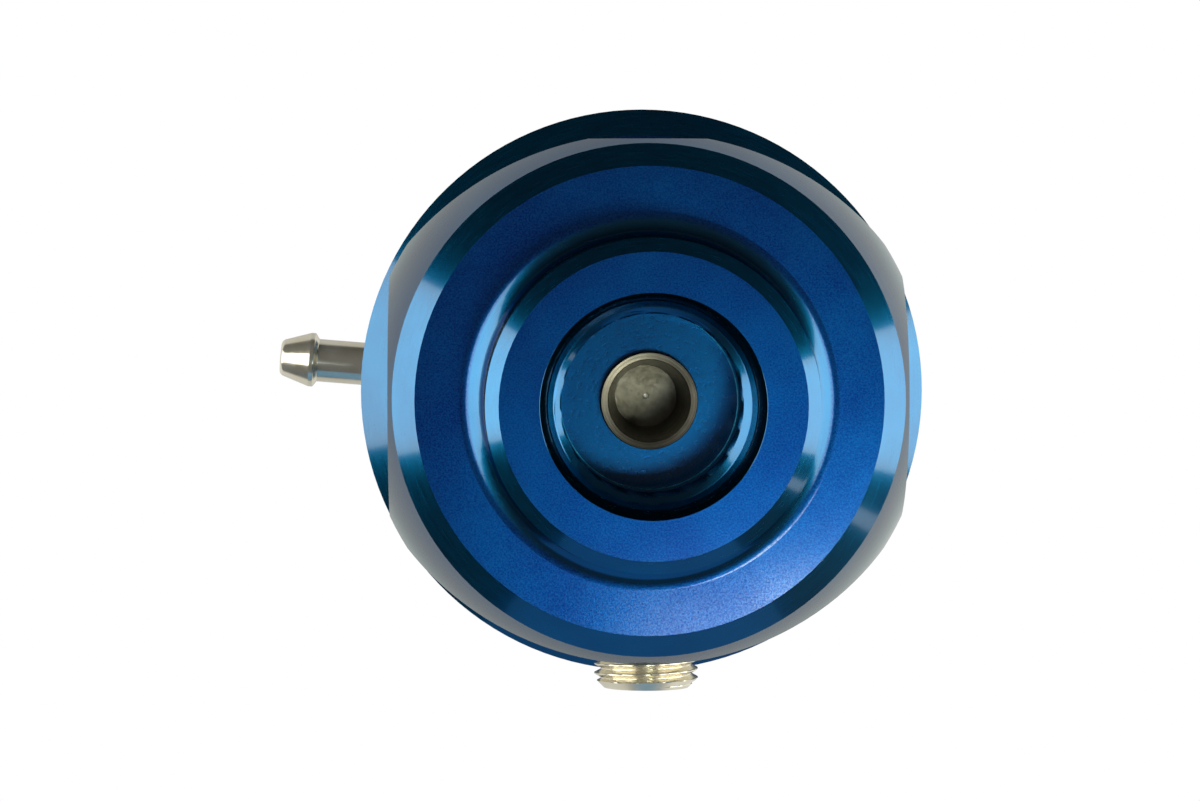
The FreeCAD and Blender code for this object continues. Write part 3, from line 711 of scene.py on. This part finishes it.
# %% Rounded outline
def rounded(corners, steps=6):
    """Outline of (radius, height, rounding): each corner becomes an arc tangent to its two sides."""
    corners = np.asarray(corners, float)
    outline = [corners[0, :2]]
    for before, here, after in zip(corners[:-2], corners[1:-1], corners[2:]):
        to_before, to_after = before[:2] - here[:2], after[:2] - here[:2]
        to_before, to_after = to_before / np.linalg.norm(to_before), to_after / np.linalg.norm(to_after)
        if here[2] == 0:
            outline.append(here[:2])
            continue
        half = math.acos(np.clip(to_before @ to_after, -1, 1)) / 2
        back = here[2] / math.tan(half)
        start, end = here[:2] + back * to_before, here[:2] + back * to_after
        inward = (to_before + to_after) / np.linalg.norm(to_before + to_after)
        middle = here[:2] + inward * here[2] / math.sin(half)
        for share in np.linspace(0, 1, steps):
            spoke = (start - middle) * (1 - share) + (end - middle) * share
            outline.append(middle + spoke / np.linalg.norm(spoke) * here[2])
    outline.append(corners[-1, :2])
    return np.array(outline)


def turned(outline):
    """Rings of an outline: every ring is round, with the outline's radius."""
    return np.repeat(outline[:, :1], around, 1), outline[:, 1]


print("a square corner rounded by 1:", rounded([(0, 0, 0), (2, 0, 1), (2, 2, 0)], 3).round(2).tolist())


# %% [markdown]
# ## Screw threads
# A screw thread is a V groove wound round a cylinder. On a grid of angle and height that
# is one formula: the phase is height divided by pitch minus the share of a full turn, and
# the depth rises and falls with it as a zigzag that is flat at crest and root. Carrying a
# V along a helix would also work, but its ends are hard to close; the grid closes itself.

# %% Thread form
def groove(phase, crest_flat, root_flat):
    """Zigzag from 0 at the crest to 1 at the root, with both tips cut flat."""
    swing = np.abs(2 * (phase % 1.0) - 1)
    return np.clip((swing - crest_flat) / (1 - crest_flat - root_flat), 0, 1)


def thread_grid(length, pitch, steps=20, start=0.0):
    """Heights and phases: phase = (height - start) / pitch - angle / (2 pi)."""
    heights = np.linspace(0, length, int(round(length / pitch * steps)) + 1)
    a = angles()
    phase = (heights[:, None] - start) / pitch - a[None, :] / (2 * np.pi)
    return heights, phase


print("depth over one turn:", groove(np.linspace(0, 1, 6), 0.12, 0.10).round(2))


# %% [markdown]
# ### Internal threads of the three ports
# The return port and both inlets take the same fitting, with 16 threads to the inch. Each
# thread is a sleeve: its inside is the thread form, its outside lies just inside the
# housing's metal, and its first thread is bevelled where the tap went in. Cutting the
# thread from the housing itself would change a frame piece, and a sleeve looks the same.

# %% Port threads
port_major_r = 9.525
port_minor_r = 8.73
port_pitch = 25.4 / 16
port_start = 3.475
port_end = 11.5
sleeve_wall = 0.04
thread_flank = math.radians(30)
tapped_crest = 0.16
tapped_root = 0.10


def inside_thread(major_r, minor_r, pitch, length):
    """Sleeve: thread form inside, plain cylinder outside, closed from one end to the other."""
    heights, phase = thread_grid(length, pitch)
    depth = major_r - minor_r
    inner = minor_r + depth * groove(phase, tapped_crest, tapped_root)
    lead_in = (minor_r + np.clip(depth - heights / math.tan(thread_flank), 0, depth))[:, None]
    inner = np.maximum(inner, lead_in)
    outer = np.full((2, around), major_r + sleeve_wall)
    radii = np.concatenate([inner, outer])
    return ring_stack(radii, np.concatenate([heights, [heights[-1], heights[0]]]))


port_thread = inside_thread(port_major_r, port_minor_r, port_pitch, port_end - port_start)
inlet_face = 25.6
inlet_z = 27.5
ports = {
    "return_port_thread": ((0, 0, port_start), (0, 0, 1)),
    "inlet_thread_barb_side": ((inlet_face - port_start, 0, inlet_z), (-1, 0, 0)),
    "inlet_thread_far_side": ((-inlet_face + port_start, 0, inlet_z), (1, 0, 0)),
}
for name, (at, direction) in ports.items():
    new_piece(name, port_thread, body_blue, "housing", closed_rows=True,
              at=at, direction=direction)

# %% [markdown]
# ### Bracket threads
# The two bracket holes are tapped from the flat on the side for M5 screws. They are small
# copies of the same sleeve, made once and set down twice.

# %% Bracket hole threads
bracket_face = 25.6
bracket_z = 26.5
bracket_apart = 10.0
bracket_major_r = 2.5
bracket_minor_r = 2.07
bracket_pitch = 0.8
bracket_depth = 7.0
bracket_inset = 0.15
bracket_thread = inside_thread(bracket_major_r, bracket_minor_r, bracket_pitch, bracket_depth)
bracket_frames = []
for side in (-1, 1):
    place = np.array([0, bracket_face - bracket_inset, bracket_z + side * bracket_apart / 2])
    bracket_frames.append((turn_to((0, -1, 0)), place))
new_piece("bracket_hole_threads", bracket_thread, body_blue, "housing", closed_rows=True,
          copies=bracket_frames)

# %% [markdown]
# ### Broken edges
# No machined edge is perfectly sharp. A file or a tumbler leaves a rounding of about a
# tenth of a millimetre, and that rounding catches the thin bright lines at the mouth of
# the port and round its floor; round the floor the line is a painted highlight as well,
# from the pale edge finish. Each is a thin ring of round section. A bevel modifier would
# round every edge of the housing, so two rings are the lighter way.

# %% Edge rings
edge_r = 0.06
edge_points = 10
port_mouth_r = 10.85
port_floor_r = 8.70
port_floor_z = 15.8


def edge_ring(name, radius, z, material):
    """Ring of round section: radius R + e cos t, height z + e sin t."""
    t = angles(edge_points)
    radii = np.repeat((radius + edge_r * np.cos(t))[:, None], around, 1)
    stack = ring_stack(radii, z + edge_r * np.sin(t))
    return new_piece(name, stack, material, "housing", closed_rows=True)


edge_ring("port_mouth_edge", port_mouth_r, edge_r, body_blue)
# painted highlight: the floor's edge ring takes the pale edge finish
edge_ring("port_floor_edge", port_floor_r, port_floor_z - edge_r, painted_edge_highlight)

# %% [markdown]
# ### The gauge port plug
# A taper plug: 27 threads to the inch on a cone, so it seals as it is driven in. A little
# over three threads stand out of the housing and catch the light, the last of them cut by
# the bevel at the end. The thread grid gives the side, and the hexagon socket is the same
# stack carried on: rings on the end, then hexagons down the hole.

# %% Gauge plug
plug_wall_y = 25.85
plug_z = 25.5
plug_r = 5.14
plug_slope = 1 / 32
plug_out = 3.2
plug_in = 6.5
plug_pitch = 25.4 / 27
plug_first_thread = 0.28
plug_bevel = 1.0
plug_inner_bevel = 0.8
plug_thread_depth = 0.66
plug_key_flats = 4.76
plug_key_depth = 5.0
cut_crest = 0.12
plug_root = 0.10
screw_root = 0.14
socket_bevel = 0.25


def hexagon_r(flats, turn=0.0):
    """Radius of a hexagon at each angle: half the flats over the cosine to the nearest flat."""
    a = angles() + math.radians(turn)
    nearest = (a + math.pi / 6) % (math.pi / 3) - math.pi / 6
    return flats / 2 / np.cos(nearest)


def socket_rings(face_z, rim_r, flats, depth, bevel=socket_bevel):
    """Rings from a rim down a bevelled hexagon socket to the drill's point."""
    hexagon = hexagon_r(flats)
    point = flats / 2 * math.tan(math.radians(30))
    radii = [np.full(around, rim_r), np.minimum(hexagon + bevel, rim_r * 0.98), hexagon, hexagon,
             np.minimum(hexagon, flats / 2), np.full(around, 0.05)]
    heights = [face_z, face_z, face_z - bevel, face_z - depth, face_z - depth, face_z - depth - point]
    return radii, heights


def taper_plug():
    """Cone r = R + slope (height - inside length), less the groove, less a bevel at each end."""
    heights, phase = thread_grid(plug_in + plug_out, plug_pitch, start=plug_first_thread)
    cone = plug_r + plug_slope * (heights - plug_in)
    radii = cone[:, None] - plug_thread_depth * groove(phase, cut_crest, plug_root)
    outer_bevel = cone[-1] - plug_bevel + (heights[-1] - heights)
    inner_bevel = cone[0] - plug_inner_bevel + heights
    radii = np.minimum(radii, np.minimum(outer_bevel, inner_bevel)[:, None])
    top, low = socket_rings(heights[-1], cone[-1] - plug_bevel - 0.02, plug_key_flats, plug_key_depth)
    return ring_stack(np.concatenate([radii, top]), np.concatenate([heights, low]))


plug = new_piece("gauge_plug_threaded", taper_plug(), nickel, "housing",
                 at=(0, -plug_wall_y + plug_in, plug_z), direction=(0, -1, 0))
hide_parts("gauge_plug")

# %% [markdown]
# ### The adjusting screw
# A fine-threaded screw with a bevelled end and a socket for a hexagon key. It sets the
# spring's load and so the fuel pressure. It is made from the same thread form, with its
# plain tip at the bottom, and takes its ends and its radius from the frame's own screw.

# %% Adjusting screw
screw_low, screw_high = [corner[2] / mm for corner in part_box("adjusting_screw")]
screw_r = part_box("adjusting_screw")[1][0] / mm
screw_pitch = 1.0
screw_thread_depth = 0.61
screw_end_bevel = 0.8
screw_key_flats = 5.0
screw_key_depth = 6.0
tip_r = 3.6
tip_height = 1.6
tip_bevel = 0.3


def adjusting_screw():
    """Radius less the groove, held under a bevel at the end and a 45 degree neck above the tip."""
    heights, phase = thread_grid(screw_high - screw_low - tip_height, screw_pitch)
    radii = screw_r - screw_thread_depth * groove(phase, cut_crest, screw_root)
    ends = np.minimum(tip_r + heights, screw_r - screw_end_bevel + heights[-1] - heights)
    radii = np.minimum(radii, np.maximum(ends, tip_r)[:, None])
    start = [np.full(around, tip_r - tip_bevel), np.full(around, tip_r)]
    top, low = socket_rings(heights[-1], screw_r - screw_end_bevel - 0.02, screw_key_flats, screw_key_depth)
    radii = np.concatenate([start, radii, top])
    heights = np.concatenate([[-tip_height, tip_bevel - tip_height], heights, low])
    return ring_stack(radii, heights + screw_low + tip_height)


screw = new_piece("adjusting_screw_threaded", adjusting_screw(), screw_steel, "screw")
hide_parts("adjusting_screw")

# %% [markdown]
# ### The hose barb
# A hose barb is turned in one go: hexagon, stem, a ridge that holds the hose and a nose
# that spreads it. Its ridge and nose are polished round, so they mirror the room in small
# spots. The rings run up the thread, the hexagon and the outside, turn round the nose and
# go back down the bore, so the stack closes on itself.

# %% Hose barb
barb_azimuth = 4.6
barb_spot = 18.8
barb_z = 55.0
barb_inner_end = -4.8
barb_thread_r = 2.98
barb_thread_pitch = 1.0
barb_thread_depth = 0.55
barb_thread_bevel_r = 2.6
barb_bevel_height = 0.35
barb_thread_from = 0.36
barb_thread_short = 0.4
barb_bore_r = 1.1
barb_stem_r = 2.24
barb_ridge_r = 2.83
barb_ridge_z = 15.6
barb_tip_z = 19.05
barb_flats = 8.0
barb_hex_height = 4.0
barb_hex_bevel = 0.4
barb_hex_bevel_r = 3.93
barb_neck_r = 3.9
barb_back_from = -0.50
barb_back_to = -0.10
barb_land_to = 0.35
barb_nose_r = 1.80


def barb_stack():
    """Thread, hexagon and rounded stem, ridge and nose, one after the other, then back down the bore."""
    start = (barb_thread_bevel_r, barb_inner_end)
    bevel = np.array([start, (barb_thread_r - 0.03, barb_inner_end + barb_bevel_height)])
    thread_z, phase = thread_grid(-barb_inner_end - barb_thread_short, barb_thread_pitch, steps=10)
    thread_r = barb_thread_r - barb_thread_depth * groove(phase, cut_crest, screw_root)
    hex_z = np.array([0.0, 0.0, *np.linspace(barb_hex_height - barb_hex_bevel, barb_hex_height, 5)])
    hex_cone = barb_hex_bevel_r + (barb_hex_height - hex_z) / math.tan(math.radians(30))
    hexagon = np.minimum(hexagon_r(barb_flats)[None, :], hex_cone[:, None])
    hexagon[0] = barb_thread_r
    outline = rounded([
        (barb_neck_r, barb_hex_height, 0),
        (barb_stem_r, barb_hex_height, 0.25),
        (barb_stem_r, barb_ridge_z + barb_back_from, 0.12),
        (barb_ridge_r, barb_ridge_z + barb_back_to, 0.20),
        (barb_ridge_r, barb_ridge_z + barb_land_to, 0.24),
        (barb_nose_r, barb_tip_z, 0.62),
        (barb_bore_r, barb_tip_z, 0.12),
        (barb_bore_r, barb_tip_z - 1.0, 0),
        (barb_bore_r, barb_inner_end, 0),
    ], 8)
    low_r, low_z = turned(bevel)
    high_r, high_z = turned(outline)
    radii = np.concatenate([low_r, thread_r, hexagon, high_r])
    heights = np.concatenate([low_z, thread_z + barb_inner_end + barb_thread_from, hex_z, high_z])
    return ring_stack(radii, heights)


barb_along = np.array([math.cos(math.radians(barb_azimuth)), math.sin(math.radians(barb_azimuth)), 0.0])
barb = new_piece("hose_barb_turned", barb_stack(), nickel, "housing", closed_rows=True,
                 at=barb_along * barb_spot + np.array([0, 0, barb_z]), direction=barb_along)
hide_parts("hose_barb")

# %% [markdown]
# ### The cap screws
# Six socket head screws hold the cap. The head's side is knurled for the fingers: its
# radius swings with the angle as a row of small V notches, 36 round the head. A bump map
# would leave the head's outline smooth, and here the notches show against the light. One
# screw is made and copied round the circle, each turned a little further.

# %% Cap screws
cap_screw_r = 2.0
cap_screw_end = 41.0
cap_screw_seat = 50.0
cap_screw_top = 54.0
cap_screw_head_r = 3.5
cap_screw_circle = 24.6
cap_screw_first = 34.4
cap_screw_pitch = 0.7
cap_screw_thread_depth = 0.40
cap_screw_gap = 0.05
cap_screw_bevel = 0.5
cap_screw_short = 0.3
head_under_bevel = 0.25
head_rounding = 0.45
head_rim_r = 2.0
head_key_flats = 3.0
head_key_depth = 2.0
head_key_bevel = 0.12
knurl_count = 36
knurl_depth = 0.16
knurl_from = 0.2
knurl_short = 0.4
screw_to_screw_turn = 17.0


def cap_screw_stack():
    """Threaded shank, underside, knurled head with notches V(angle), and the socket."""
    heights, phase = thread_grid(cap_screw_seat - cap_screw_end - cap_screw_short, cap_screw_pitch, steps=7)
    shank = cap_screw_r - cap_screw_gap - cap_screw_thread_depth * groove(phase, cut_crest, screw_root)
    shank = np.minimum(shank, (cap_screw_r - cap_screw_bevel + heights)[:, None])
    notch = np.abs((angles() * knurl_count / (2 * np.pi)) % 1.0 - 0.5) * 2
    side = rounded([
        (cap_screw_head_r - head_under_bevel, cap_screw_seat, 0),
        (cap_screw_head_r, cap_screw_seat + head_under_bevel, 0),
        (cap_screw_head_r, cap_screw_top, head_rounding),
        (head_rim_r, cap_screw_top, 0),
    ], 6)
    knurled = (side[:, 1] > cap_screw_seat + knurl_from) & (side[:, 1] < cap_screw_top - knurl_short)
    rows = side[:, :1] - knurl_depth * knurled[:, None] * notch[None, :]
    top, low = socket_rings(cap_screw_top, head_rim_r, head_key_flats, head_key_depth, head_key_bevel)
    under = np.full((1, around), cap_screw_r - 2 * cap_screw_gap)
    radii = np.concatenate([shank, under, rows, top])
    return ring_stack(radii, np.concatenate([heights + cap_screw_end, [cap_screw_seat], side[:, 1], low]))


screw_frames = []
for k in range(6):
    turn = math.radians(cap_screw_first + 60 * k)
    place = np.array([cap_screw_circle * math.cos(turn), cap_screw_circle * math.sin(turn), 0.0])
    screw_frames.append((turn_to((0, 0, 1), screw_to_screw_turn * k), place))
screws = new_piece("cap_screws_knurled", cap_screw_stack(), screw_steel, "housing",
                   copies=screw_frames)
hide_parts("cap_screws")

# %% [markdown]
# ### The sealing lip
# Under the lock nut lies a zinc plated washer with a rubber lip bonded to its bore. The
# lip seals on the screw's thread. It is an outline with two rounded corners, turned.

# %% Sealing lip
washer_low, washer_high = [corner[2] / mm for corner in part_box("seal_washer")]
lip_outer_r = 5.75
lip_inner_r = 5.12
lip_inset = 0.15
lip_rounding = 0.25
lip_start = washer_low + 0.75
lip = rounded([
    (lip_outer_r, lip_start, 0),
    (lip_outer_r, washer_low + lip_inset, 0),
    (lip_inner_r, washer_low + lip_inset, lip_rounding),
    (lip_inner_r, washer_high - lip_inset, lip_rounding),
    (lip_outer_r, washer_high - lip_inset, 0),
    (lip_outer_r, lip_start, 0),
], 6)[:-1]
new_piece("seal_washer_lip", ring_stack(*turned(lip)), seal_rubber, "washer", closed_rows=True)

# %% [markdown]
# ### The main spring
# A coil of round wire whose ends are ground flat, so that the wire tapers away at each
# end. Its foot rises with the valve and its head follows the seat under the adjusting
# screw, and one piece can bend between two bodies only. So the coil is cut in two along
# its wire. The short lower piece bends between valve and housing and the upper one
# between housing and seat, and where they meet both keep still. Stretching the whole coil
# with one joint would leave the other end cutting through its plate.

# %% Main spring
spring_low, spring_high = [corner[2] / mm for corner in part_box("main_spring")]
spring_r = 12.0
wire_r = 1.5
coil_turns = 5.0
coil_start = 0.35
coil_cut = 1.0
coil_pitch = (spring_high - spring_low) / coil_turns
ground_tip = 0.28
wire_points = 24
steps_per_turn = 60


def coil(first, last):
    """Wire section at angle 2 pi (turn + start), height pitch turn; past a ground end it is cut to a chord."""
    turns = np.linspace(first, last, int((last - first) * steps_per_turn) + 1)
    centre_z = spring_low + coil_pitch * turns
    sink = np.minimum(np.minimum(centre_z - spring_low, spring_high - centre_z), 0)
    chord = np.sqrt(wire_r ** 2 - sink ** 2)[:, None]
    t = angles(wire_points)[None, :]
    radii = spring_r - wire_r + np.clip(wire_r * np.cos(t), -chord, chord)
    heights = np.clip(centre_z[:, None] + wire_r * np.sin(t), spring_low, spring_high)
    round_axis = (2 * np.pi * (turns + coil_start))[:, None]
    return np.stack([radii * np.cos(round_axis), radii * np.sin(round_axis), heights], 2)


foot = new_piece("main_spring_foot", coil(-ground_tip, coil_cut), spring_steel, None)
upper_coil = coil(coil_cut, coil_turns + ground_tip)
head = new_piece("main_spring_head", upper_coil, spring_steel, None)
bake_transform(foot)
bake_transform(head)
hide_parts("main_spring")
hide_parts("main_spring")

# %% [markdown]
# ### The diaphragm
# Rubbered cloth, moulded with one roll between its hub and its rim. The hub is clamped on
# the valve and the rim between the housings, and the roll gives way. A bend runs along a
# straight line, but the roll lies round the axis. So it is cut like a cake, and each slice
# bends along its own radius. Two neighbours agree along their cut, because it lies at the
# same angle to both radii.

# %% Diaphragm
cloth_low, cloth_high = [corner[2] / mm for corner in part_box("diaphragm")]
rim_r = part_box("diaphragm")[1][0] / mm
cloth = 1.0
hub_hole_r = 4.1
roll_in = 12.5
roll_out = 17.5
slices = 12
slice_half = math.pi / slices


def flat_ring(inner_r, outer_r):
    """Flat part of the cloth: four rings, inner and outer, below and above."""
    top = cloth_low + cloth
    corners = [(inner_r, cloth_low), (outer_r, cloth_low), (outer_r, top), (inner_r, top)]
    return ring_stack(*turned(np.array(corners)))


def roll_slice(middle):
    """Middle line z = rise (1 + cos pi u) / 2, u from -1 to 1 across the roll, half the cloth either side."""
    u = np.linspace(-1, 1, 25)
    rise = cloth_high - cloth_low - cloth
    r = (roll_in + roll_out) / 2 + u * (roll_out - roll_in) / 2
    z = cloth_low + cloth / 2 + rise * (1 + np.cos(np.pi * u)) / 2
    slope = -rise * np.pi * np.sin(np.pi * u) / (roll_out - roll_in)
    across = np.stack([-slope, np.ones(len(u))]) / np.sqrt(1 + slope ** 2) * cloth / 2
    fan = np.linspace(-slice_half, slice_half, 9) + middle
    turn = np.concatenate([fan, fan[::-1]])[None, :]
    side = np.repeat([1.0, -1.0], len(fan))[None, :]
    radii = r[:, None] + side * across[0][:, None]
    heights = z[:, None] + side * across[1][:, None]
    return np.stack([radii * np.cos(turn), radii * np.sin(turn), heights], 2)


hub = new_piece("diaphragm_hub", flat_ring(hub_hole_r, roll_in), diaphragm_rubber, "valve",
                closed_rows=True)
rim = new_piece("diaphragm_rim", flat_ring(roll_out, rim_r), diaphragm_rubber, "housing",
                closed_rows=True)
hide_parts("diaphragm")
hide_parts("diaphragm")
for k in range(slices):
    middle = 2 * slice_half * k
    piece = new_piece(f"diaphragm_roll_{k}", roll_slice(middle), diaphragm_rubber, None)
    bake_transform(piece)
    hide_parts("diaphragm")

# %% [markdown]
# ## Finish
